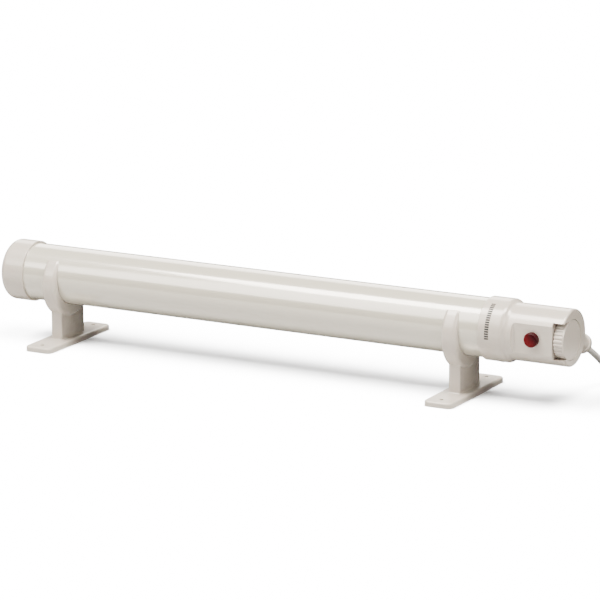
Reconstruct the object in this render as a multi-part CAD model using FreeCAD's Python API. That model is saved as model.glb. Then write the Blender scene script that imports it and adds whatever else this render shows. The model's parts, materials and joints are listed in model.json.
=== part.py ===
import FreeCAD, Part
import math
import os

V = FreeCAD.Vector

# Tubular greenhouse heater with a built-in frost thermostat, lying in two screw-down brackets.
# Frame: +X along the tube towards the control end, -Y towards the lamp and thumbwheel window,
# +Z up, origin under the middle of the heater on the surface that its feet stand on.
# Millimetres throughout.

# ---------------------------------------------------------------- driving dimensions
X_LEFT = -325.1            # outer face of the end cap
X_RIGHT = 327.4            # end face of the control head
AXIS_Z = 71.8              # height of the tube's axis
TUBE_R = 30.0
TUBE_WALL = 1.0
SEAT_GAP = 0.1             # radial gap of mouldings pushed over the tube

SLEEVE_R = 32.1            # outside of the end cap and of the housing's collar
CAP_LENGTH = 28.65
CAP_ROUND = 7.0
CAP_WALL = 2.95
CAP_SHOULDER = 6.1         # depth of the shoulder that the seal sits on

COLLAR_START = 237.5
COLLAR_END = 261.0
NECK_END = 268.0           # end of the S-shaped step
FACET_START = 272.5
HEAD_R = 28.85             # control head behind the collar
HEAD_BORE_R = 26.25
SEAT_END = 260.0           # shoulder inside the collar
END_WALL = 3.0
FLAT_Y = -24.6             # front facet
FLAT_WALL = 2.2

WHEEL_Y = -3.7             # thumbwheel axis, measured from the tube's axis
WHEEL_DZ = -1.3
WHEEL_R = 20.3
WHEEL_BACK = 316.6
WHEEL_FACE = 327.2         # all but flush with the end face
WHEEL_RIDGES = 32
POCKET_R = WHEEL_R + 0.35
POCKET_BACK = 315.5
POCKET_WALL = 1.65
WINDOW_LOW = -18.6
WINDOW_HIGH = 18.6

LAMP_X = 294.3
LAMP_DZ = 0.3
LAMP_R = 7.0
LAMP_REACH = 6.2           # how far the lens stands out of the facet

BRACKET_X = (-261.6, 207.3)
FOOT_Y = 1.2               # foot and post sit a little behind the tube's axis
FOOT_LENGTH = 121.5
FOOT_WIDTH = 31.4
FOOT_THICK = 6.0
FOOT_CORNER = 6.0
FOOT_HOLE_R = 2.25
FOOT_HOLE_SPACING = 100.0
POST_WIDTH = 12.9
POST_DEPTH = 45.0
SADDLE_WIDTH = 16.8
SADDLE_GAP = 0.3
SADDLE_OUTER_R = 36.2
SADDLE_DROP = 7.5          # how far the outer circle sits below the tube's axis
SADDLE_TIP = 19.6          # height of the tips above the axis
SADDLE_ROUND = 4.0

GLAND_MOUTH = V(316.5, 46.4, 53.1)
GLAND_TILT = math.radians(30)
GLAND_LENGTH = 20.0        # housing boss to mouth
GLAND_CAP_R = 10.3

CORD_R = 3.25
CORD_ROUTE = [
    (316.5, 44.7, 54.1), (316.5, 62.0, 44.1), (317.8, 78.5, 33.0), (319.9, 94.0, 20.0),
    (322.1, 110.8, 8.8), (323.7, 128.4, 4.4), (326.0, 146.5, 4.25),
]
TAIL_ROUTE = [(411.8, 124.4, 10.75), (408.0, 107.0, 10.9), (403.0, 92.0, 10.6), (402.0, 77.0, 10.5)]
COIL_CENTRE = (368.0, 132.0)
COIL_MEAN_R = 33.5
COIL_ACROSS = 27.1         # three spiral turns side by side
COIL_FLOOR = 1.0           # the tie lies under the turns
COIL_TOP = 14.2            # two layers
TIE_ANGLE = 60.0

PLUG_CENTRE = (402.0, 53.0)    # lying on its cover with the pins up
PLUG_TURN = 90.0               # its cord inlet faces +Y
PLUG_LENGTH = 48.0
PLUG_WIDTH = 46.0
PLUG_COVER_TOP = 15.0
PLUG_TOP = 22.0
PLUG_INLET_Z = 10.5

os.makedirs("parts", exist_ok=True)


# ---------------------------------------------------------------- helpers
def export(name, shape):
    shape.exportStep("parts/%s.step" % name)


def rod(radius, start, direction, length):
    return Part.makeCylinder(radius, length, start, direction)


def rod_x(radius, x0, x1, y=0.0, dz=0.0):
    return rod(radius, V(x0, y, AXIS_Z + dz), V(1, 0, 0), x1 - x0)


def ring_x(outer, inner, x0, x1, y=0.0, dz=0.0):
    return rod_x(outer, x0, x1, y, dz).cut(rod_x(inner, x0 - 1, x1 + 1, y, dz))


def rod_y(radius, x, y0, y1, dz=0.0):
    return rod(radius, V(x, y0, AXIS_Z + dz), V(0, 1, 0), y1 - y0)


def block(x0, x1, y0, y1, z0, z1):
    return Part.makeBox(x1 - x0, y1 - y0, z1 - z0, V(x0, y0, z0))


def fuse_all(shapes):
    return shapes[0].multiFuse(shapes[1:]).removeSplitter()


def group(shapes):
    return Part.makeCompound(shapes)


def edges_where(shape, test):
    return [edge for edge in shape.Edges if test(edge)]


def circle_edges(shape, radius, x=None):
    def matches(edge):
        curve = edge.Curve
        if not isinstance(curve, Part.Circle) or abs(curve.Radius - radius) > 0.01:
            return False
        return x is None or abs(curve.Center.x - x) < 0.01
    return edges_where(shape, matches)


def upright_edges(shape):
    def matches(edge):
        ends = [vertex.Point for vertex in edge.Vertexes]
        return len(ends) == 2 and abs(ends[0].x - ends[1].x) < 0.01 and abs(ends[0].y - ends[1].y) < 0.01
    return edges_where(shape, matches)


def hexagon(across_flats, start, direction, length):
    """Six-sided prism, centred on start."""
    corner_r = across_flats / math.sqrt(3)
    points = [V(corner_r * math.cos(math.radians(60 * k)), corner_r * math.sin(math.radians(60 * k)), 0)
              for k in range(7)]
    prism = Part.Face(Part.makePolygon(points)).extrude(V(0, 0, length))
    prism.Placement = FreeCAD.Placement(start, FreeCAD.Rotation(V(0, 0, 1), direction))
    return prism


def rounded_route(points):
    """Straight runs joined by tangent arcs, each as large as its two runs allow."""
    points = [V(*p) for p in points]
    edges = []
    radii = []
    start = points[0]
    for before, corner, after in zip(points, points[1:], points[2:]):
        run_in = corner - before
        run_out = after - corner
        half_turn = run_in.getAngle(run_out) / 2
        trim = 0.45 * min(run_in.Length, run_out.Length)
        run_in.normalize()
        run_out.normalize()
        radius = trim / math.tan(half_turn)
        inward = (run_out - run_in).normalize()
        arc_start = corner - run_in * trim
        arc_end = corner + run_out * trim
        arc_middle = corner + inward * (radius / math.cos(half_turn) - radius)
        edges.append(Part.LineSegment(start, arc_start).toShape())
        edges.append(Part.Arc(arc_start, arc_middle, arc_end).toShape())
        radii.append(radius)
        start = arc_end
    edges.append(Part.LineSegment(start, points[-1]).toShape())
    return Part.Wire(edges), radii


def tube_along(name, points, radius):
    path, radii = rounded_route(points)
    direction = V(*points[1]) - V(*points[0])
    section = Part.Wire([Part.makeCircle(radius, V(*points[0]), direction)])
    solid = path.makePipeShell([section], True, False)
    expected = math.pi * radius ** 2 * path.Length
    print("%s: length %.1f, radii %s, volume ratio %.4f" % (
        name, path.Length, [round(r, 1) for r in radii], solid.Volume / expected))
    return solid


def gland_point(distance):
    """A point on the gland's axis, measured from the housing's boss outwards."""
    return GLAND_MOUTH + GLAND_AXIS * (distance - GLAND_LENGTH)


def gland_rod(radius, start, end):
    return rod(radius, gland_point(start), GLAND_AXIS, end - start)


GLAND_AXIS = V(0, math.cos(GLAND_TILT), -math.sin(GLAND_TILT))


# ---------------------------------------------------------------- tube and end cap
SCREW_X = 251.0
SCREW_DIRECTIONS = (V(0, 1, 0), V(0, 0, -1))


def screw_hole(radius, direction, start=26.0, end=34.0):
    return rod(radius, V(SCREW_X, 0, AXIS_Z) + direction * start, direction, end - start)


def make_body_tube():
    tube = ring_x(TUBE_R, TUBE_R - TUBE_WALL, X_LEFT + CAP_SHOULDER + 1.75, SEAT_END - 2.0)
    for direction in SCREW_DIRECTIONS:
        tube = tube.cut(screw_hole(1.55, direction))
    return tube


def make_end_cap():
    mouth = X_LEFT + CAP_LENGTH
    cap = rod_x(SLEEVE_R, X_LEFT, mouth)
    cap = cap.makeFillet(CAP_ROUND, circle_edges(cap, SLEEVE_R, X_LEFT))
    cap = cap.makeFillet(0.7, circle_edges(cap, SLEEVE_R, mouth))
    cap = cap.cut(rod_x(TUBE_R + SEAT_GAP, X_LEFT + CAP_SHOULDER, mouth + 1))
    return cap.cut(rod_x(26.0, X_LEFT + CAP_WALL, mouth))


def make_cap_seal():
    return ring_x(TUBE_R - 0.2, 26.6, X_LEFT + CAP_SHOULDER + 0.1, X_LEFT + CAP_SHOULDER + 1.65)


# ---------------------------------------------------------------- control housing
def head_outline():
    """Half section of the housing's outside, as distance along X and radius."""
    step = HEAD_R - SLEEVE_R
    quarter = (NECK_END - COLLAR_END) / 2
    bend = (quarter ** 2 + (step / 2) ** 2) / abs(step)
    half = math.asin(quarter / bend) / 2
    middle_x = (COLLAR_END + NECK_END) / 2
    middle_r = (SLEEVE_R + HEAD_R) / 2

    def at(x, radius):
        return V(x, 0, AXIS_Z + radius)

    shoulder = Part.Arc(
        at(COLLAR_END, SLEEVE_R),
        at(COLLAR_END + bend * math.sin(half), SLEEVE_R - bend * (1 - math.cos(half))),
        at(middle_x, middle_r))
    hollow = Part.Arc(
        at(middle_x, middle_r),
        at(NECK_END - bend * math.sin(half), HEAD_R + bend * (1 - math.cos(half))),
        at(NECK_END, HEAD_R))
    return Part.Wire([
        Part.LineSegment(at(COLLAR_START, 0), at(COLLAR_START, SLEEVE_R)).toShape(),
        Part.LineSegment(at(COLLAR_START, SLEEVE_R), at(COLLAR_END, SLEEVE_R)).toShape(),
        shoulder.toShape(),
        hollow.toShape(),
        Part.LineSegment(at(NECK_END, HEAD_R), at(X_RIGHT, HEAD_R)).toShape(),
        Part.LineSegment(at(X_RIGHT, HEAD_R), at(X_RIGHT, 0)).toShape(),
        Part.LineSegment(at(X_RIGHT, 0), at(COLLAR_START, 0)).toShape(),
    ])


def front_facet_cutter():
    cutter = block(FACET_START, X_RIGHT + 5, FLAT_Y - 12, FLAT_Y, AXIS_Z - 30, AXIS_Z + 30)
    inner_edge = edges_where(cutter, lambda e: (
        abs(e.BoundBox.XMax - FACET_START) < 0.01 and abs(e.BoundBox.YMin - FLAT_Y) < 0.01
        and e.BoundBox.XLength < 0.01 and e.BoundBox.YLength < 0.01))
    return cutter.makeFillet(3.0, inner_edge)


def make_control_housing():
    shell = Part.Face(head_outline()).revolve(V(0, 0, AXIS_Z), V(1, 0, 0), 360)
    shell = Part.makeSolid(shell.Shells[0])
    shell = shell.makeFillet(1.9, circle_edges(shell, HEAD_R, X_RIGHT))
    shell = shell.makeFillet(0.7, circle_edges(shell, SLEEVE_R, COLLAR_START))
    shell = shell.fuse(gland_rod(9.8, -7.0, 0.0))
    shell = shell.cut(front_facet_cutter())
    shell = shell.cut(rod_x(TUBE_R + SEAT_GAP, COLLAR_START - 1, SEAT_END))
    cavity = rod_x(HEAD_BORE_R, SEAT_END - 1, X_RIGHT - END_WALL)
    cavity = cavity.common(block(0, X_RIGHT, FLAT_Y + FLAT_WALL, 40, 0, 2 * AXIS_Z))
    cup = rod_x(POCKET_R + POCKET_WALL, POCKET_BACK - 2.2, X_RIGHT, WHEEL_Y, WHEEL_DZ)
    shell = shell.cut(cavity.cut(cup))
    shell = shell.cut(rod_x(POCKET_R, POCKET_BACK, X_RIGHT + 1, WHEEL_Y, WHEEL_DZ))
    window = block(POCKET_BACK, X_RIGHT + 1, -40, -11.5, AXIS_Z + WINDOW_LOW, AXIS_Z + WINDOW_HIGH)
    shell = shell.cut(window)
    shell = shell.cut(rod_x(5.0, POCKET_BACK - 4, POCKET_BACK + 1, WHEEL_Y, WHEEL_DZ))
    shell = shell.cut(rod_y(5.55, LAMP_X, -30, FLAT_Y + FLAT_WALL + 0.5, LAMP_DZ))
    shell = shell.cut(gland_rod(6.1, -10.5, 1.0))
    for direction in SCREW_DIRECTIONS:
        shell = shell.cut(screw_hole(1.55, direction))
        shell = shell.cut(screw_hole(3.4, direction, 31.0, 36.0))
    return shell


def make_housing_seal():
    return ring_x(TUBE_R - 0.2, 27.4, SEAT_END - 1.9, SEAT_END - 0.1)


def make_housing_screws():
    screws = []
    for direction in SCREW_DIRECTIONS:
        head = screw_hole(3.1, direction, 31.05, 33.2)
        head = head.makeFillet(1.0, edges_where(head, lambda e: (
            isinstance(e.Curve, Part.Circle) and (e.Curve.Center - V(SCREW_X, 0, AXIS_Z)).Length > 33)))
        slot_centre = V(SCREW_X, 0, AXIS_Z) + direction * 33.0
        slot = block(-3.5, 3.5, -0.35, 0.35, -0.35, 0.6)
        slot.Placement = FreeCAD.Placement(slot_centre, FreeCAD.Rotation(V(0, 0, 1), direction))
        screws.append(head.fuse(screw_hole(1.45, direction, 24.5, 31.1)).cut(slot))
    return group(screws)


# ---------------------------------------------------------------- thumbwheel and thermostat
def make_thumbwheel():
    wheel = rod_x(WHEEL_R, WHEEL_BACK, WHEEL_FACE, WHEEL_Y, WHEEL_DZ)
    wheel = wheel.makeChamfer(0.3, circle_edges(wheel, WHEEL_R, WHEEL_FACE))
    groove_r = 1.35
    groove_centre_r = WHEEL_R + 0.35
    for k in range(WHEEL_RIDGES):
        angle = 2 * math.pi * k / WHEEL_RIDGES
        y = WHEEL_Y + groove_centre_r * math.cos(angle)
        dz = WHEEL_DZ + groove_centre_r * math.sin(angle)
        wheel = wheel.cut(rod_x(groove_r, WHEEL_BACK - 1, WHEEL_FACE - 1.6, y, dz))
    wheel = wheel.cut(rod_x(12.0, WHEEL_BACK - 1, WHEEL_BACK + 2.6, WHEEL_Y, WHEEL_DZ))
    return wheel.cut(rod_x(3.05, WHEEL_BACK, WHEEL_FACE - 2.5, WHEEL_Y, WHEEL_DZ))


def make_spindle():
    return rod_x(3.0, 302.5, WHEEL_FACE - 2.6, WHEEL_Y, WHEEL_DZ)


def make_thermostat_bush():
    bush = rod_x(8.0, 309.0, 313.2, WHEEL_Y, WHEEL_DZ).fuse(rod_x(4.9, 313.0, 318.2, WHEEL_Y, WHEEL_DZ))
    return bush.cut(rod_x(3.05, 308.0, 319.0, WHEEL_Y, WHEEL_DZ)).removeSplitter()


def make_thermostat_nut():
    nut = hexagon(13.0, V(315.6, WHEEL_Y, AXIS_Z + WHEEL_DZ), V(1, 0, 0), 2.2)
    return nut.cut(rod_x(4.95, 315.0, 319.0, WHEEL_Y, WHEEL_DZ))


def thermostat_box(inset, x0, x1):
    half = 12.0 - inset
    return block(x0, x1, WHEEL_Y - half, WHEEL_Y + half, AXIS_Z + WHEEL_DZ - half, AXIS_Z + WHEEL_DZ + half)


def make_thermostat_case():
    case = thermostat_box(0, 299.2, 308.9).cut(thermostat_box(1.4, 300.2, 307.7))
    return case.cut(rod_x(3.1, 307.0, 310.0, WHEEL_Y, WHEEL_DZ))


def make_bimetal_blade():
    z = AXIS_Z + WHEEL_DZ
    blade = block(301.5, 302.0, WHEEL_Y - 10.4, WHEEL_Y + 8.0, z - 3.0, z + 3.0)
    foot = block(300.3, 302.0, WHEEL_Y - 10.4, WHEEL_Y - 7.4, z - 3.0, z + 3.0)
    return blade.fuse(foot).removeSplitter()


def make_contact_points():
    y = WHEEL_Y + 6.0
    return group([rod_x(1.5, 300.25, 300.75, y, WHEEL_DZ), rod_x(1.5, 300.95, 301.45, y, WHEEL_DZ)])


def make_thermostat_terminals():
    z = AXIS_Z + WHEEL_DZ
    return group([block(292.0, 299.1, y - 0.4, y + 0.4, z - 3.0, z + 3.0)
                  for y in (WHEEL_Y + 4.0, WHEEL_Y + 9.0)])


# ---------------------------------------------------------------- neon indicator
def make_neon_lens():
    dome = rod_y(LAMP_R, LAMP_X, FLAT_Y - LAMP_REACH, FLAT_Y, LAMP_DZ)
    dome = dome.makeFillet(4.6, edges_where(dome, lambda e: e.BoundBox.YMax < FLAT_Y - LAMP_REACH + 0.01))
    skirt = rod_y(5.4, LAMP_X, FLAT_Y - 0.5, -19.6, LAMP_DZ)
    return dome.fuse(skirt).cut(rod_y(4.3, LAMP_X, FLAT_Y - 1.2, -19.0, LAMP_DZ)).removeSplitter()


def make_neon_body():
    body = rod_y(5.4, LAMP_X, -19.5, -16.2, LAMP_DZ).fuse(rod_y(4.5, LAMP_X, -16.3, -9.4, LAMP_DZ))
    return body.cut(rod_y(3.6, LAMP_X, -20.0, -10.6, LAMP_DZ)).removeSplitter()


def make_neon_bulb():
    bulb = rod_y(2.9, LAMP_X, -22.5, -11.0, LAMP_DZ)
    return bulb.makeFillet(2.7, circle_edges(bulb, 2.9)[:1])


def make_neon_clip():
    clip = rod_y(8.0, LAMP_X, -22.3, -21.4, LAMP_DZ)
    return clip.cut(rod_y(5.45, LAMP_X, -23, -21, LAMP_DZ))


def make_neon_leads():
    return group([rod_y(0.4, LAMP_X + dx, -9.3, -7.4, LAMP_DZ) for dx in (-1.5, 1.5)])


# ---------------------------------------------------------------- heating element
LEG_Y = 12.0
ROD_R = 3.25
BEND_X = -285.0
ROD_END = 246.0


def make_element_rod():
    legs = [rod_x(ROD_R, BEND_X, ROD_END, side * LEG_Y) for side in (-1, 1)]
    bend = Part.makeTorus(LEG_Y, ROD_R, V(BEND_X, 0, AXIS_Z), V(0, 0, 1))
    bend = bend.common(block(BEND_X - 20, BEND_X, -20, 20, AXIS_Z - 5, AXIS_Z + 5))
    return fuse_all(legs + [bend])


def make_element_pins():
    return group([rod_x(1.5, ROD_END + 0.05, 262.0, side * LEG_Y) for side in (-1, 1)])


def make_element_insulators():
    return group([ring_x(4.6, 1.55, ROD_END + 0.05, 254.0, side * LEG_Y) for side in (-1, 1)])


def make_element_supports():
    discs = []
    for x in (-240.0, -85.0, 70.0, 215.0):
        disc = rod_x(28.6, x, x + 1.2)
        for side in (-1, 1):
            disc = disc.cut(rod_x(ROD_R + 0.1, x - 1, x + 3, side * LEG_Y))
            disc = disc.cut(rod_x(8.0, x - 1, x + 3, 0, side * 16.5))
        discs.append(disc)
    return group(discs)


def make_heat_barrier():
    barrier = rod_x(28.6, 234.0, 236.0)
    for side in (-1, 1):
        barrier = barrier.cut(rod_x(ROD_R + 0.1, 233.0, 237.0, side * LEG_Y))
    return barrier


def make_cutout():
    return rod_x(8.0, 238.0, 246.0, 0, 15.0).fuse(rod_x(6.0, 246.0, 248.5, 0, 15.0)).removeSplitter()


def make_cutout_clip():
    z = AXIS_Z + 15.0
    plate = block(236.1, 237.9, -12.0, 12.0, z - 5.0, z + 5.0)
    ears = [block(236.1, 243.0, y, y + 0.8, z - 4.0, z + 4.0) for y in (-9.2, 8.4)]
    return fuse_all([plate] + ears)


def make_cutout_terminals():
    z = AXIS_Z + 15.0
    return group([block(248.6, 256.0, y - 0.4, y + 0.4, z - 3.0, z + 3.0) for y in (-3.5, 3.5)])


# ---------------------------------------------------------------- wiring
BLOCK_X = (271.0, 286.0)
BLOCK_Z = (-22.5, -11.5)
WAYS = (8.0, 0.0, -8.0)


def make_terminal_block():
    z0 = AXIS_Z + BLOCK_Z[0]
    z1 = AXIS_Z + BLOCK_Z[1]
    body = block(BLOCK_X[0], BLOCK_X[1], -12.0, 12.0, z0, z1)
    middle = (BLOCK_Z[0] + BLOCK_Z[1]) / 2
    for y in WAYS:
        body = body.cut(rod_x(1.7, BLOCK_X[0] - 1, BLOCK_X[1] + 1, y, middle))
        for x in (BLOCK_X[0] + 3.5, BLOCK_X[1] - 3.5):
            body = body.cut(rod(1.6, V(x, y, AXIS_Z + middle), V(0, 0, 1), 10))
    return body


def make_terminal_screws():
    middle = (BLOCK_Z[0] + BLOCK_Z[1]) / 2
    return group([rod(1.5, V(x, y, AXIS_Z + middle + 1.75), V(0, 0, 1), 3.2)
                  for y in WAYS for x in (BLOCK_X[0] + 3.5, BLOCK_X[1] - 3.5)])


def supply_core(name, spread, route):
    """One core of the lead, from the end of its sheath to its way in the terminal block."""
    turn = math.radians(spread)
    across = V(math.cos(turn), math.sin(turn) * math.sin(GLAND_TILT), math.sin(turn) * math.cos(GLAND_TILT))
    start = gland_point(-8.0) + across * 1.4
    points = [tuple(start)] + [(x, y, AXIS_Z + dz) for x, y, dz in route]
    return tube_along(name, points, 0.9)


def make_element_wires():
    middle = AXIS_Z + (BLOCK_Z[0] + BLOCK_Z[1]) / 2
    z = AXIS_Z
    neutral = [(275.0, 0.0, middle), (268.0, -1.5, middle + 1.0), (264.5, -7.0, z - 9.0),
               (263.5, -12.0, z - 3.0), (262.8, -12.2, z)]
    live = [(256.6, 4.2, z + 15.0), (261.5, 8.0, z + 12.5), (263.5, 11.5, z + 6.0), (263.0, 12.2, z + 0.5)]
    switched = [(275.0, 8.0, middle), (268.8, 8.1, middle + 0.2), (264.8, 14.0, z - 11.0),
                (264.0, 19.5, z - 1.0), (262.5, 17.5, z + 10.0), (259.5, 8.5, z + 17.4),
                (256.9, -2.2, z + 18.4)]
    return group([tube_along(name, points, 0.9) for name, points in
                  (("neutral link", neutral), ("live link", live), ("switched link", switched))])


def make_earth_link():
    middle = AXIS_Z + (BLOCK_Z[0] + BLOCK_Z[1]) / 2
    points = [(275.0, -8.0, middle), (267.0, -7.2, middle + 0.6), (260.0, -4.0, middle - 2.0),
              (255.6, -1.0, AXIS_Z - 25.8)]
    return tube_along("earth link", points, 0.9)


def make_earth_tag():
    return screw_hole(4.0, V(0, 0, -1), 27.6, 28.2).cut(screw_hole(1.6, V(0, 0, -1)))


def make_earth_nut():
    nut = hexagon(5.5, V(SCREW_X, 0, AXIS_Z - 27.4), V(0, 0, 1), 2.2)
    return nut.cut(screw_hole(1.55, V(0, 0, -1), 20, 30))


# ---------------------------------------------------------------- cable gland and lead
def make_gland_body():
    body = gland_rod(6.0, -4.0, 0.1).fuse(gland_rod(8.8, 0.05, 13.0)).removeSplitter()
    body = body.cut(gland_rod(5.5, 3.0, 14.0))
    return body.cut(gland_rod(CORD_R + 0.2, -6.0, 5.0))


def make_gland_cap():
    cap = gland_rod(GLAND_CAP_R, 13.1, GLAND_LENGTH)
    outer = edges_where(cap, lambda e: isinstance(e.Curve, Part.Circle)
                        and (e.Curve.Center - GLAND_MOUTH).Length < 0.1)
    return cap.makeFillet(3.0, outer).cut(gland_rod(5.6, 12.0, GLAND_LENGTH + 1))


def make_gland_seal():
    return gland_rod(5.4, 3.1, 11.5).cut(gland_rod(CORD_R + 0.1, 2.0, 13.0))


def make_strain_relief():
    base = gland_point(12.2)
    sleeve = Part.makeCone(5.5, 3.95, 21.0, base, GLAND_AXIS)
    sleeve = sleeve.cut(gland_rod(CORD_R + 0.1, 11.0, 36.0))
    for s in (23.0, 26.0, 29.0):
        sleeve = sleeve.cut(gland_rod(8.0, s, s + 0.9).cut(gland_rod(CORD_R + 0.5, s - 1, s + 2)))
    return sleeve


def make_sheath_end():
    return gland_rod(CORD_R, -6.9, GLAND_LENGTH - 2.05)


def make_coil():
    coil = rod(COIL_MEAN_R + COIL_ACROSS / 2, V(COIL_CENTRE[0], COIL_CENTRE[1], COIL_FLOOR), V(0, 0, 1),
               COIL_TOP - COIL_FLOOR)
    coil = coil.cut(rod(COIL_MEAN_R - COIL_ACROSS / 2, V(COIL_CENTRE[0], COIL_CENTRE[1], 0), V(0, 0, 1), 30))
    return coil.makeFillet(3.0, edges_where(coil, lambda e: isinstance(e.Curve, Part.Circle)))


def make_coil_tie():
    half = COIL_ACROSS / 2
    outer = block(COIL_MEAN_R - half - 1.4, COIL_MEAN_R + half + 1.4, -3.5, 3.5, 0, COIL_TOP + COIL_FLOOR)
    outer = outer.makeFillet(3.4, edges_where(outer, lambda e: e.BoundBox.YLength > 6.9))
    inner = block(COIL_MEAN_R - half - 0.5, COIL_MEAN_R + half + 0.5, -4, 4,
                  COIL_FLOOR - 0.05, COIL_TOP + 0.05)
    tie = outer.cut(inner.makeFillet(2.7, edges_where(inner, lambda e: e.BoundBox.YLength > 7.9)))
    tie.Placement = FreeCAD.Placement(V(COIL_CENTRE[0], COIL_CENTRE[1], 0),
                                      FreeCAD.Rotation(V(0, 0, 1), TIE_ANGLE))
    return tie


# ---------------------------------------------------------------- plug
# Made round its own centre with the inlet facing +X, then laid in place.
PIN_SECTIONS = ((-11.1, 0.0, 4.0, 2.0), (11.1, -11.1, 2.0, 3.175), (11.1, 11.1, 2.0, 3.175))
PIN_REACH = (22.7, 17.7, 17.7)


def laid_down(shape):
    shape.Placement = FreeCAD.Placement(V(PLUG_CENTRE[0], PLUG_CENTRE[1], 0),
                                        FreeCAD.Rotation(V(0, 0, 1), PLUG_TURN))
    return shape


def plug_outline(inset, z0, z1):
    half_x = PLUG_LENGTH / 2 - inset
    half_y = PLUG_WIDTH / 2 - inset
    body = block(-half_x, half_x, -half_y, half_y, z0, z1)
    return body.makeFillet(9.0 - inset, upright_edges(body))


def make_plug_cover():
    cover = plug_outline(0, 0, PLUG_COVER_TOP)
    bottom = edges_where(cover, lambda e: e.BoundBox.ZMax < 0.01)
    cover = cover.makeFillet(2.5, bottom).cut(plug_outline(2.2, 2.2, PLUG_COVER_TOP + 1))
    inlet = rod(CORD_R + 0.15, V(PLUG_LENGTH / 2 - 8, 0, PLUG_INLET_Z), V(1, 0, 0), 20)
    return laid_down(cover.cut(inlet))


def make_plug_base():
    base = plug_outline(0, PLUG_COVER_TOP + 0.05, PLUG_TOP)
    top = edges_where(base, lambda e: e.BoundBox.ZMin > PLUG_TOP - 0.01)
    base = base.makeFillet(1.2, top)
    for x, y, half_x, half_y in PIN_SECTIONS:
        slot_x = half_x + 0.05
        slot_y = half_y + 0.05
        base = base.cut(block(x - slot_x, x + slot_x, y - slot_y, y + slot_y, 10, 30))
    return laid_down(base)


def make_plug_pins():
    pins = []
    for (x, y, half_x, half_y), reach in zip(PIN_SECTIONS, PIN_REACH):
        pin = block(x - half_x, x + half_x, y - half_y, y + half_y, 11.0, PLUG_TOP + reach)
        tip = edges_where(pin, lambda e: e.BoundBox.ZMin > PLUG_TOP + reach - 0.01)
        pins.append(pin.makeChamfer(0.8, tip))
    return laid_down(group(pins))


def make_plug_fuse():
    return laid_down(rod(3.15, V(1.5, -13.0, 9.5), V(0, 1, 0), 25.4))


def make_plug_screw():
    head = rod(3.0, V(-2.0, 0, PLUG_TOP + 0.02), V(0, 0, 1), 1.4)
    slot = block(-6, 2, -0.4, 0.4, PLUG_TOP + 0.8, PLUG_TOP + 2)
    return laid_down(head.cut(slot))


# ---------------------------------------------------------------- brackets
def make_bracket(x):
    foot = block(x - FOOT_WIDTH / 2, x + FOOT_WIDTH / 2,
                 FOOT_Y - FOOT_LENGTH / 2, FOOT_Y + FOOT_LENGTH / 2, 0, FOOT_THICK)
    foot = foot.makeFillet(FOOT_CORNER, upright_edges(foot))
    foot = foot.makeFillet(2.2, edges_where(foot, lambda e: e.BoundBox.ZMin > FOOT_THICK - 0.01))
    post = block(x - POST_WIDTH / 2, x + POST_WIDTH / 2,
                 FOOT_Y - POST_DEPTH / 2, FOOT_Y + POST_DEPTH / 2, FOOT_THICK - 1, AXIS_Z - 33)
    post = post.makeFillet(1.6, upright_edges(post))
    foot = foot.fuse(post)
    root = edges_where(foot, lambda e: (
        abs(e.BoundBox.ZMin - FOOT_THICK) < 0.01 and e.BoundBox.ZLength < 0.01
        and abs(e.BoundBox.Center.x - x) < POST_WIDTH
        and abs(e.BoundBox.Center.y - FOOT_Y) < POST_DEPTH / 2 + 1))
    foot = foot.makeFillet(1.3, root)
    saddle = rod_x(SADDLE_OUTER_R, x - SADDLE_WIDTH / 2, x + SADDLE_WIDTH / 2, 0, -SADDLE_DROP)
    saddle = saddle.makeFillet(SADDLE_ROUND, circle_edges(saddle, SADDLE_OUTER_R))
    saddle = saddle.common(block(x - 20, x + 20, -50, 50, 0, AXIS_Z + SADDLE_TIP))
    bracket = foot.fuse(saddle)
    bracket = bracket.cut(rod_x(TUBE_R + SADDLE_GAP, x - 20, x + 20))
    for side in (-1, 1):
        hole = rod(FOOT_HOLE_R, V(x, FOOT_Y + side * FOOT_HOLE_SPACING / 2, -1), V(0, 0, 1), 12)
        bracket = bracket.cut(hole)
    return bracket


# ---------------------------------------------------------------- write every piece
PIECES = {
    "body_tube": make_body_tube,
    "end_cap": make_end_cap,
    "cap_seal": make_cap_seal,
    "control_housing": make_control_housing,
    "housing_seal": make_housing_seal,
    "housing_screws": make_housing_screws,
    "thumbwheel": make_thumbwheel,
    "thermostat_spindle": make_spindle,
    "thermostat_bush": make_thermostat_bush,
    "thermostat_nut": make_thermostat_nut,
    "thermostat_case": make_thermostat_case,
    "bimetal_blade": make_bimetal_blade,
    "contact_points": make_contact_points,
    "thermostat_terminals": make_thermostat_terminals,
    "neon_lens": make_neon_lens,
    "neon_body": make_neon_body,
    "neon_bulb": make_neon_bulb,
    "neon_clip": make_neon_clip,
    "neon_leads": make_neon_leads,
    "element_rod": make_element_rod,
    "element_pins": make_element_pins,
    "element_insulators": make_element_insulators,
    "element_supports": make_element_supports,
    "heat_barrier": make_heat_barrier,
    "thermal_cutout": make_cutout,
    "cutout_clip": make_cutout_clip,
    "cutout_terminals": make_cutout_terminals,
    "terminal_block": make_terminal_block,
    "terminal_screws": make_terminal_screws,
    "element_wires": make_element_wires,
    "earth_link": make_earth_link,
    "earth_tag": make_earth_tag,
    "earth_nut": make_earth_nut,
    "gland_body": make_gland_body,
    "gland_cap": make_gland_cap,
    "gland_seal": make_gland_seal,
    "strain_relief": make_strain_relief,
    "sheath_end": make_sheath_end,
    "lead_coil": make_coil,
    "coil_tie": make_coil_tie,
    "plug_cover": make_plug_cover,
    "plug_base": make_plug_base,
    "plug_pins": make_plug_pins,
    "plug_fuse": make_plug_fuse,
    "plug_screw": make_plug_screw,
}

for name, make in PIECES.items():
    export(name, make())

export("bracket_left", make_bracket(BRACKET_X[0]))
export("bracket_right", make_bracket(BRACKET_X[1]))

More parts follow.
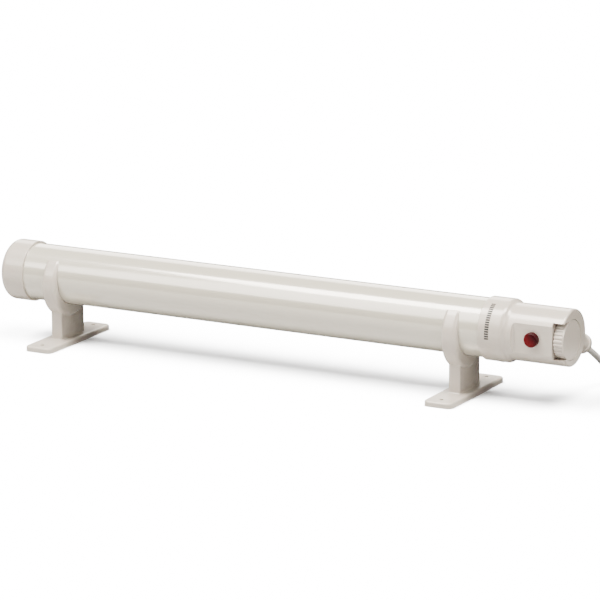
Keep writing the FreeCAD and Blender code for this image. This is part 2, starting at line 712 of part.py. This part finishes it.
CORES = {
    "live_core": (90, [(310.0, 20.4, -5.6), (300.5, 14.5, -14.0), (291.5, 8.5, -16.9),
                       (281.0, 8.0, -17.0)]),
    "neutral_core": (210, [(311.5, 19.0, -11.0), (302.5, 9.5, -17.6), (291.5, 0.7, -17.3),
                           (281.0, 0.0, -17.0)]),
    "earth_core": (330, [(315.5, 18.0, -14.0), (307.0, 7.0, -21.0), (292.0, -7.2, -18.0),
                         (281.0, -8.0, -17.0)]),
}
for name, (spread, route) in CORES.items():
    export(name, supply_core(name, spread, route))

export("mains_lead", tube_along("mains lead", CORD_ROUTE, CORD_R))
export("lead_tail", tube_along("lead tail", TAIL_ROUTE, CORD_R))
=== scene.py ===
import json
import math

import bmesh
import bpy
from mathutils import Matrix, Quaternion, Vector


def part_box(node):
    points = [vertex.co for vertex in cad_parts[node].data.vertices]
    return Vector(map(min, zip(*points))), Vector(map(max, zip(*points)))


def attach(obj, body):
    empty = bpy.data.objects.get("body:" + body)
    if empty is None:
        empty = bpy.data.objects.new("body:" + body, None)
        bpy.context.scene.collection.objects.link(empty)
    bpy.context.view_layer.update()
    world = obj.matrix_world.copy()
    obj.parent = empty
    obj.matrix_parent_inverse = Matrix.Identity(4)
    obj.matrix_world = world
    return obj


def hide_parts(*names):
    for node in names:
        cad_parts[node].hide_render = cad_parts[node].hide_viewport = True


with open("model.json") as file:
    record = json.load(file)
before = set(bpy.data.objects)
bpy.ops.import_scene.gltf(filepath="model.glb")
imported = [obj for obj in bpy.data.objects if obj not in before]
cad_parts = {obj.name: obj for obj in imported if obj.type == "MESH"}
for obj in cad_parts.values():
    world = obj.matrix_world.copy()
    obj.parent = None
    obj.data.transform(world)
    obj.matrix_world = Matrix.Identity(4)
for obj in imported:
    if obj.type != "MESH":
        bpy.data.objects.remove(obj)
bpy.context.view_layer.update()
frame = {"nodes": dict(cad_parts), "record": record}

# Tubular greenhouse heater: looks, cord, floor, light and camera, in metres, in the CAD frame.

NODES = frame["nodes"]
AXIS_Z = (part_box("body_tube")[0].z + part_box("body_tube")[1].z) / 2


# ---------------------------------------------------------------- camera
CAMERA_AZIMUTH, CAMERA_ELEVATION, CAMERA_ROLL = 29.27, 13.82, -0.5      # degrees
CAMERA_DISTANCE = 3.747
CAMERA_TARGET = Vector((0.020855, 0.0, 0.07568))
SENSOR_WIDTH, FOCAL_LENGTH = 36.0, 220.88      # millimetres


def make_camera():
    """Long lens, a little above the heater, from the front and towards its control end."""
    azimuth, elevation = math.radians(CAMERA_AZIMUTH), math.radians(CAMERA_ELEVATION)
    back = Vector((math.sin(azimuth) * math.cos(elevation),
                   -math.cos(azimuth) * math.cos(elevation), math.sin(elevation)))
    data = bpy.data.cameras.new("camera")
    data.sensor_width = SENSOR_WIDTH
    data.lens = FOCAL_LENGTH
    data.clip_end = 20.0
    camera = bpy.data.objects.new("camera", data)
    camera.location = CAMERA_TARGET + back * CAMERA_DISTANCE
    camera.rotation_mode = "QUATERNION"
    roll = Quaternion((0, 0, 1), math.radians(CAMERA_ROLL))
    camera.rotation_quaternion = (-back).to_track_quat("-Z", "Y") @ roll
    bpy.context.scene.collection.objects.link(camera)
    bpy.context.scene.camera = camera


make_camera()

# ---------------------------------------------------------------- mains lead
CORD_DIAMETER = 0.0065
CORD_ROUTE = [
    (0.3165, 0.0447, 0.0541), (0.3165, 0.0620, 0.0441), (0.3178, 0.0785, 0.0330), (0.3199, 0.0940, 0.0200),
    (0.3221, 0.1108, 0.0088), (0.3237, 0.1284, 0.0044), (0.3260, 0.1465, 0.00425),
]
TAIL_ROUTE = [
    (0.4118, 0.1244, 0.01075), (0.4080, 0.1070, 0.0109), (0.4030, 0.0920, 0.0106), (0.4020, 0.0770, 0.0105),
]
COIL_CENTRE = Vector((0.368, 0.132, 0.0))
COIL_OUTER_LANE = 0.0436   # radii of the widest and the narrowest turn
COIL_INNER_LANE = 0.0233
COIL_LAYERS = (0.00425, 0.01075)
COIL_FROM = 161.0          # where the lead joins the coil, degrees from +X
COIL_TO = -2170.0          # where the tail leaves it, six and a half turns later
COIL_STEPS = 104
CLIMB = (1120.0, 1211.0)   # between these degrees round, the coil rises to its second layer


def smooth(t):
    """Ease from 0 to 1, level at both ends."""
    t = min(1.0, max(0.0, t))
    return t * t * (3 - 2 * t)


def coil_points():
    """Clockwise: about three turns in along the floor, a quarter turn that climbs, three turns out on top."""
    step = (COIL_FROM - COIL_TO) / COIL_STEPS
    inset = math.cos(math.radians(step / 2))
    width = COIL_OUTER_LANE - COIL_INNER_LANE
    points = []
    for k in range(1, COIL_STEPS):
        turned = k * step
        if turned < CLIMB[0]:
            lane = COIL_OUTER_LANE - width * turned / CLIMB[0]
        elif turned < CLIMB[1]:
            lane = COIL_INNER_LANE
        else:
            lane = COIL_INNER_LANE + width * (turned - CLIMB[1]) / (COIL_STEPS * step - CLIMB[1])
        climbed = smooth((turned - CLIMB[0]) / (CLIMB[1] - CLIMB[0]))
        height = COIL_LAYERS[0] + (COIL_LAYERS[1] - COIL_LAYERS[0]) * climbed
        angle = math.radians(COIL_FROM - turned)
        reach = lane / inset
        points.append(COIL_CENTRE + Vector((reach * math.cos(angle), reach * math.sin(angle), height)))
    return points


def round_cord(name, points, radius):
    """Cord of one radius along the smooth curve that the points steer."""
    data = bpy.data.curves.new(name, "CURVE")
    data.dimensions = "3D"
    data.bevel_depth = 1.0     # times each point's radius
    data.bevel_resolution = 6
    data.resolution_u = 8
    data.use_fill_caps = True
    spline = data.splines.new("NURBS")
    spline.points.add(len(points) - 1)
    for point, place in zip(spline.points, points):
        point.co = (*place, 1.0)
        point.radius = radius
    spline.order_u = 3
    spline.use_endpoint_u = True
    cord = bpy.data.objects.new(name, data)
    bpy.context.scene.collection.objects.link(cord)
    return cord


lead = round_cord("mains_lead_cord", CORD_ROUTE + coil_points() + TAIL_ROUTE, CORD_DIAMETER / 2)
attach(lead, "heater")
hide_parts("mains_lead", "lead_coil", "lead_tail")


# ---------------------------------------------------------------- materials
class Nodes:
    """One material and the nodes added to it."""

    def __init__(self, name):
        self.material = bpy.data.materials.new(name)
        self.material.use_nodes = True
        self.tree = self.material.node_tree
        self.shader = self.tree.nodes["Principled BSDF"]

    def add(self, kind, **values):
        node = self.tree.nodes.new(kind)
        for key, value in values.items():
            if hasattr(node, key):
                setattr(node, key, value)
            else:
                node.inputs[key.replace("_", " ")].default_value = value
        return node

    def link(self, output, target):
        self.tree.links.new(output, target)

    def coordinates(self, scale):
        place = self.add("ShaderNodeTexCoord")
        mapping = self.add("ShaderNodeMapping")
        mapping.inputs["Scale"].default_value = scale
        self.link(place.outputs["Object"], mapping.inputs["Vector"])
        return mapping.outputs["Vector"]

    def noise(self, scale, detail=3.0, roughness=0.5, stretch=(1, 1, 1)):
        node = self.add("ShaderNodeTexNoise", Scale=scale, Detail=detail, Roughness=roughness)
        self.link(self.coordinates(stretch), node.inputs["Vector"])
        return node.outputs["Fac"]

    def ramp(self, source, stops):
        node = self.add("ShaderNodeValToRGB")
        elements = node.color_ramp.elements
        while len(elements) < len(stops):
            elements.new(0.5)
        for element, (place, value) in zip(elements, stops):
            element.position = place
            element.color = (*value, 1.0) if isinstance(value, tuple) else (value, value, value, 1.0)
        self.link(source, node.inputs["Fac"])
        return node.outputs["Color"]

    def bump(self, height, strength, distance):
        node = self.add("ShaderNodeBump", Strength=strength, Distance=distance)
        self.link(height, node.inputs["Height"])
        self.link(node.outputs["Normal"], self.shader.inputs["Normal"])

    def set(self, **values):
        for key, value in values.items():
            self.shader.inputs[key.replace("_", " ")].default_value = value


def enamel(name, colour, shade, roughness):
    """Sprayed gloss paint: faint colour drift, fine orange peel, slightly uneven gloss."""
    m = Nodes(name)
    m.link(m.ramp(m.noise(9.0, 2.0), [(0.3, shade), (0.7, colour)]), m.shader.inputs["Base Color"])
    m.link(m.ramp(m.noise(60.0, 4.0), [(0.3, roughness - 0.04), (0.7, roughness + 0.05)]),
           m.shader.inputs["Roughness"])
    m.bump(m.noise(420.0, 3.0, 0.55), 0.10, 0.0006)
    m.set(Coat_Weight=1.0, Coat_Roughness=0.12, Coat_IOR=2.0, Specular_IOR_Level=0.8)
    return m.material


def moulding(name, colour, shade, roughness, grain=900.0, strength=0.12):
    """Injection-moulded plastic: even colour with faint clouding and a fine spark-eroded texture."""
    m = Nodes(name)
    m.link(m.ramp(m.noise(8.0, 2.0), [(0.2, shade), (0.8, colour)]), m.shader.inputs["Base Color"])
    m.link(m.ramp(m.noise(60.0, 2.0), [(0.2, roughness - 0.015), (0.8, roughness + 0.015)]),
           m.shader.inputs["Roughness"])
    m.bump(m.noise(grain, 2.0, 0.6), strength, 0.0003)
    m.set(Specular_IOR_Level=0.5, Subsurface_Weight=0.03, Subsurface_Scale=0.002)
    return m.material


def gloss_moulding(name, colour, shade, roughness):
    """The heater's own mouldings: the same plastic with a polished skin."""
    material = moulding(name, colour, shade, roughness)
    shader = material.node_tree.nodes["Principled BSDF"]
    shader.inputs["Coat Weight"].default_value = 0.45
    shader.inputs["Coat Roughness"].default_value = 0.16
    shader.inputs["Coat IOR"].default_value = 1.8
    return material


def metal(name, colour, shade, roughness, stretch=(1, 1, 1)):
    """Turned or rolled metal with fine tool marks."""
    m = Nodes(name)
    m.link(m.ramp(m.noise(300.0, 4.0, 0.6, stretch), [(0.3, shade), (0.7, colour)]),
           m.shader.inputs["Base Color"])
    m.link(m.ramp(m.noise(500.0, 3.0, 0.5, stretch), [(0.3, roughness - 0.08), (0.7, roughness + 0.08)]),
           m.shader.inputs["Roughness"])
    m.bump(m.noise(700.0, 3.0, 0.5, stretch), 0.10, 0.0002)
    m.set(Metallic=1.0)
    return m.material


def soft_matt(name, colour, shade, roughness, grain=1200.0):
    """Rubber or flexible sheath: matt, faintly mottled."""
    m = Nodes(name)
    m.link(m.ramp(m.noise(120.0, 4.0), [(0.3, shade), (0.7, colour)]), m.shader.inputs["Base Color"])
    m.link(m.ramp(m.noise(200.0, 3.0), [(0.3, roughness - 0.06), (0.7, roughness + 0.06)]),
           m.shader.inputs["Roughness"])
    m.bump(m.noise(grain, 2.0), 0.15, 0.0002)
    return m.material


# Painted light and shade on the lamp lens: its darker and lighter reds, and how fast one turns into the
# other.
LENS_PAINTED_SHADE = (0.022, 0.0002, 0.0018)
LENS_PAINTED_LIGHT = (0.105, 0.0012, 0.0038)
LENS_PAINTED_LIGHT_SLOPE = -50.0         # how fast the painted light brightens, per metre across and up


def lens(name):
    """Clear lens over a lamp that is off, with painted light and shade: painted light brick red at its lower
    left, painted shade dark red at its upper right.
    """
    m = Nodes(name)
    place = m.add("ShaderNodeTexCoord")
    split = m.add("ShaderNodeSeparateXYZ")
    m.link(place.outputs["Object"], split.inputs["Vector"])
    painted_light_slant = m.add("ShaderNodeMath", operation="ADD")
    m.link(split.outputs["X"], painted_light_slant.inputs[0])
    m.link(split.outputs["Z"], painted_light_slant.inputs[1])
    shade = m.add("ShaderNodeMath", operation="MULTIPLY_ADD")
    shade.inputs[1].default_value = LENS_PAINTED_LIGHT_SLOPE
    shade.inputs[2].default_value = 0.5
    m.link(painted_light_slant.outputs["Value"], shade.inputs[0])
    # painted light and shade: the base colour brightens towards the lower left and darkens towards the upper
    # right
    m.link(m.ramp(shade.outputs["Value"], [(0.15, LENS_PAINTED_SHADE), (0.75, LENS_PAINTED_LIGHT)]),
           m.shader.inputs["Base Color"])
    m.link(m.ramp(m.noise(300.0, 2.0), [(0.3, 0.30), (0.7, 0.36)]), m.shader.inputs["Roughness"])
    m.bump(m.noise(500.0, 2.0), 0.05, 0.0002)
    m.set(Specular_IOR_Level=0.10)
    return m.material


MATERIALS = {
    "painted_tube": enamel("painted_tube_look", (0.580, 0.557, 0.474), (0.567, 0.543, 0.458), 0.20),
    "white_moulding": gloss_moulding("white_moulding_look", (0.540, 0.497, 0.444),
                                     (0.528, 0.485, 0.432), 0.24),
    "wheel_plastic": gloss_moulding("wheel_plastic_look", (0.560, 0.515, 0.462),
                                    (0.548, 0.503, 0.450), 0.24),
    "black_rubber": soft_matt("black_rubber_look", (0.030, 0.030, 0.030), (0.018, 0.018, 0.018), 0.6),
    "silicone": soft_matt("silicone_look", (0.70, 0.66, 0.60), (0.62, 0.58, 0.53), 0.5),
    "steel": metal("steel_look", (0.62, 0.62, 0.63), (0.48, 0.48, 0.50), 0.32),
    "brass": metal("brass_look", (0.78, 0.60, 0.30), (0.62, 0.46, 0.22), 0.30),
    "lens_red": lens("lens_red_painted_light_look"),
    "nylon": moulding("nylon_look", (0.80, 0.79, 0.75), (0.76, 0.75, 0.71), 0.5),
    "clear_glass": moulding("clear_glass_look", (0.90, 0.84, 0.80), (0.86, 0.80, 0.76), 0.10, 500.0, 0.03),
    "element_steel": metal("element_steel_look", (0.34, 0.31, 0.28), (0.22, 0.20, 0.19), 0.45, (0.2, 1, 1)),
    "ceramic": soft_matt("ceramic_look", (0.84, 0.82, 0.76), (0.78, 0.75, 0.69), 0.7, 1500.0),
    "mica": soft_matt("mica_look", (0.46, 0.37, 0.25), (0.34, 0.27, 0.18), 0.45, 600.0),
    "phenolic": moulding("phenolic_look", (0.060, 0.038, 0.028), (0.040, 0.026, 0.020), 0.40),
    "wire_blue": soft_matt("wire_blue_look", (0.03, 0.12, 0.45), (0.02, 0.09, 0.36), 0.45),
    "wire_brown": soft_matt("wire_brown_look", (0.22, 0.09, 0.035), (0.16, 0.065, 0.025), 0.45),
    "wire_earth": soft_matt("wire_earth_look", (0.22, 0.42, 0.06), (0.60, 0.55, 0.05), 0.45),
    "wire_sleeved": soft_matt("wire_sleeved_look", (0.78, 0.76, 0.69), (0.66, 0.64, 0.57), 0.8, 2000.0),
    "cord_grey": soft_matt("cord_grey_look", (0.62, 0.61, 0.60), (0.58, 0.57, 0.56), 0.42),
    "plug_white": moulding("plug_white_look", (0.72, 0.71, 0.69), (0.69, 0.68, 0.66), 0.34),
}


def paint_cad_nodes():
    for part in frame["record"]["subparts"]:
        node = NODES[part["node"]]
        node.data.materials.clear()
        node.data.materials.append(MATERIALS[part["material_slot"]])


paint_cad_nodes()
lead.data.materials.append(MATERIALS["cord_grey"])


# ---------------------------------------------------------------- lamp lens, collar marks and coil tie
LENS_CENTRE = Vector((0.2943, -0.0246, 0.0721))
LENS_R, LENS_REACH, LENS_ROUND = 0.0074, 0.0060, 0.0022
LENS_TUCK = 0.0004         # how far its rim goes into the hole
LENS_RIM = 0.0008          # edge that keeps the rim crisp

MARKS_X = (0.2454, 0.2500)
MARKS_R = 0.03216          # just proud of the collar
MARK_COUNT = 17
MARKS_TOP = 62.0           # degrees above the front of the collar
MARK_PITCH = 4.2
MARK_HALF = 1.5

TIE_ANGLE = 60.0
TIE_WIDTH, TIE_THICK = 0.0070, 0.0008
TIE_NEAR, TIE_FAR = 0.0195, 0.0458         # its inner faces, from the middle of the coil
TIE_BOTTOM, TIE_TOP = 0.0009, 0.0141
TIE_BEND = 0.0034
BEND_STEPS = 6


def add_piece(name, shape, slot):
    """Turn a bmesh into an object of one material."""
    mesh = bpy.data.meshes.new(name)
    shape.to_mesh(mesh)
    shape.free()
    mesh.materials.append(MATERIALS[slot])
    piece = bpy.data.objects.new(name, mesh)
    bpy.context.scene.collection.objects.link(piece)
    return piece


def make_lens():
    """The lens turned about its own axis, smooth all over."""
    shoulder = LENS_ROUND - LENS_REACH
    profile = [(LENS_R, LENS_TUCK), (LENS_R, -LENS_RIM), (LENS_R, shoulder)]
    for k in range(1, 9):
        turn = math.radians(90 * k / 8)
        profile.append((LENS_R - LENS_ROUND * (1 - math.cos(turn)), shoulder - LENS_ROUND * math.sin(turn)))
    profile.append((0.0, -LENS_REACH))
    shape = bmesh.new()
    ring = [shape.verts.new((r, y, 0.0)) for r, y in profile]
    edges = [shape.edges.new(pair) for pair in zip(ring, ring[1:])]
    bmesh.ops.spin(shape, geom=ring + edges, cent=(0, 0, 0), axis=(0, 1, 0), angle=2 * math.pi, steps=48,
                   use_duplicate=False)
    bmesh.ops.remove_doubles(shape, verts=shape.verts, dist=0.00002)
    bmesh.ops.recalc_face_normals(shape, faces=shape.faces)
    cover = add_piece("lamp_lens", shape, "lens_red")
    cover.data.shade_smooth()
    cover.location = LENS_CENTRE
    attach(cover, "heater")
    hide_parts("neon_lens")


def make_marks():
    """A row of plain bars round the front of the collar."""
    shape = bmesh.new()
    left, right = MARKS_X
    for k in range(MARK_COUNT):
        middle = MARKS_TOP - MARK_PITCH * k
        corners = []
        for x, turn in ((left, middle - MARK_HALF), (right, middle - MARK_HALF),
                        (right, middle + MARK_HALF), (left, middle + MARK_HALF)):
            turn = math.radians(turn)
            corners.append(shape.verts.new((x, -MARKS_R * math.cos(turn), AXIS_Z + MARKS_R * math.sin(turn))))
        shape.faces.new(corners)
    marks = add_piece("collar_marks", shape, "black_rubber")
    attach(marks, "heater")


def rounded_loop(near, far, low, high, radius):
    """Points round a rectangle with rounded corners, as (distance from the coil's centre, height)."""
    points = []
    for r, z, start in ((far - radius, low + radius, -90), (far - radius, high - radius, 0),
                        (near + radius, high - radius, 90), (near + radius, low + radius, 180)):
        for k in range(BEND_STEPS + 1):
            turn = math.radians(start + 90 * k / BEND_STEPS)
            points.append((r + radius * math.cos(turn), z + radius * math.sin(turn)))
    return points


def make_tie():
    """The flat tie, pulled tight round the turns of the coil."""
    inside = rounded_loop(TIE_NEAR, TIE_FAR, TIE_BOTTOM, TIE_TOP, TIE_BEND)
    outside = rounded_loop(TIE_NEAR - TIE_THICK, TIE_FAR + TIE_THICK, TIE_BOTTOM - TIE_THICK,
                           TIE_TOP + TIE_THICK, TIE_BEND + TIE_THICK)
    half = TIE_WIDTH / 2
    shape = bmesh.new()
    rings = [[shape.verts.new((r, y, z)) for r, z in loop]
             for loop, y in ((outside, -half), (outside, half), (inside, half), (inside, -half))]
    count = len(outside)
    for first, second in zip(rings, rings[1:] + rings[:1]):
        for k in range(count):
            after = (k + 1) % count
            shape.faces.new((first[k], first[after], second[after], second[k]))
    bmesh.ops.recalc_face_normals(shape, faces=shape.faces)
    strap = add_piece("tie_strap", shape, "black_rubber")
    strap.data.shade_smooth()
    strap.data.set_sharp_from_angle(angle=math.radians(40))
    strap.location = COIL_CENTRE
    strap.rotation_euler = (0.0, 0.0, math.radians(TIE_ANGLE))
    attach(strap, "heater")
    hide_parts("coil_tie")


make_lens()
make_marks()
make_tie()


# ---------------------------------------------------------------- floor, light, world
WARM = (1.0, 0.93, 0.84)
FLOOR_REACH = 12.0
WORLD_STRENGTH = 4.0


def sheet(name, near_y, far_y, height, albedo):
    """Flat matt sheet, level with the floor or just under it."""
    mesh = bpy.data.meshes.new(name)
    corners = [(-FLOOR_REACH, near_y, height), (FLOOR_REACH, near_y, height),
               (FLOOR_REACH, far_y, height), (-FLOOR_REACH, far_y, height)]
    mesh.from_pydata(corners, [], [(0, 1, 2, 3)])
    m = Nodes(name + "_look")
    m.set(Base_Color=(albedo, albedo, albedo, 1.0), Roughness=0.9, Specular_IOR_Level=0.0)
    mesh.materials.append(m.material)
    flat = bpy.data.objects.new(name, mesh)
    bpy.context.scene.collection.objects.link(flat)
    flat.visible_shadow = False
    return flat


def make_floor():
    """White floor that is seen, over cards that throw light back up at the heater and show in its gloss."""
    seen = sheet("floor", near_y=-FLOOR_REACH, far_y=FLOOR_REACH, height=0.0, albedo=0.93)
    seen.visible_diffuse = False
    seen.visible_glossy = False
    bounce = sheet("bounce_card", near_y=-3.0, far_y=-0.008, height=-0.0005, albedo=0.44)
    bounce.visible_camera = False
    bounce.visible_glossy = False
    mirrored = sheet("mirrored_card", near_y=-FLOOR_REACH, far_y=0.0, height=-0.0007, albedo=0.60)
    mirrored.visible_camera = False
    mirrored.visible_diffuse = False
    return seen


def add_light(name, data, place, aim, floor_state):
    """Aim a light. It skips the floor with EXCLUDE, and falls on nothing else with INCLUDE."""
    light = bpy.data.objects.new(name, data)
    light.location = place
    light.rotation_mode = "QUATERNION"
    light.rotation_quaternion = (Vector(aim) - Vector(place)).to_track_quat("-Z", "Y")
    bpy.context.scene.collection.objects.link(light)
    receivers = bpy.data.collections.new(name + "_receivers")
    receivers.objects.link(floor)
    receivers.collection_objects[0].light_linking.link_state = floor_state
    light.light_linking.receiver_collection = receivers


def softbox(name, place, aim, size, power):
    """Large warm panel of light that falls on the heater but not on the floor."""
    data = bpy.data.lights.new(name, "AREA")
    data.shape = "RECTANGLE"
    data.size, data.size_y = size
    data.energy = power
    data.color = WARM
    add_light(name, data, place, aim, "EXCLUDE")


def floor_wash(name, direction, spread, strength):
    """Broad light that only the floor catches, so that the heater's shadow on it is soft."""
    data = bpy.data.lights.new(name, "SUN")
    data.angle = math.radians(spread)
    data.energy = strength
    add_light(name, data, direction, (0, 0, 0), "INCLUDE")


def make_world(zenith, horizon, ground):
    """Faint even grey, a little lighter overhead."""
    world = bpy.data.worlds.new("studio")
    world.use_nodes = True
    tree = world.node_tree
    place = tree.nodes.new("ShaderNodeTexCoord")
    split = tree.nodes.new("ShaderNodeSeparateXYZ")
    ramp = tree.nodes.new("ShaderNodeValToRGB")
    shift = tree.nodes.new("ShaderNodeMath")
    shift.operation = "MULTIPLY_ADD"
    shift.inputs[1].default_value = 0.5
    shift.inputs[2].default_value = 0.5
    elements = ramp.color_ramp.elements
    elements.new(0.5)
    for element, level in zip(elements, (ground, horizon, zenith)):
        element.color = (level, level, level, 1.0)
    background = tree.nodes["Background"]
    tree.links.new(place.outputs["Generated"], split.inputs["Vector"])
    tree.links.new(split.outputs["Z"], shift.inputs[0])
    tree.links.new(shift.outputs["Value"], ramp.inputs["Fac"])
    tree.links.new(ramp.outputs["Color"], background.inputs["Color"])
    background.inputs["Strength"].default_value = WORLD_STRENGTH
    bpy.context.scene.world = world


floor = make_floor()
make_world(zenith=0.025, horizon=0.02, ground=0.02)
softbox("overhead", place=(0.15, -0.40, 2.4), aim=(0.05, 0.0, 0.07), size=(3.4, 0.8), power=300.0)
softbox("front", place=(-1.5, -2.1, 2.2), aim=(-0.1, 0.0, 0.07), size=(1.1, 2.2), power=74.0)
softbox("right", place=(2.6, -0.9, 1.3), aim=(0.3, 0.0, 0.07), size=(1.2, 1.2), power=36.0)
softbox("back", place=(-1.4, 2.2, 1.5), aim=(0.0, 0.0, 0.07), size=(1.6, 1.2), power=45.0)
floor_wash("floor_wash_left", direction=(-0.45, -0.34, 1.0), spread=34.0, strength=26.0)
floor_wash("floor_wash_right", direction=(0.35, -0.08, 1.0), spread=34.0, strength=24.0)
floor_wash("floor_wash_front", direction=(-0.50, -0.68, 1.0), spread=34.0, strength=11.0)
floor_wash("floor_wash_wide", direction=(0.0, 0.0, 1.0), spread=120.0, strength=1.5)

bpy.context.view_layer.update()      # so that the new pieces' boxes are up to date
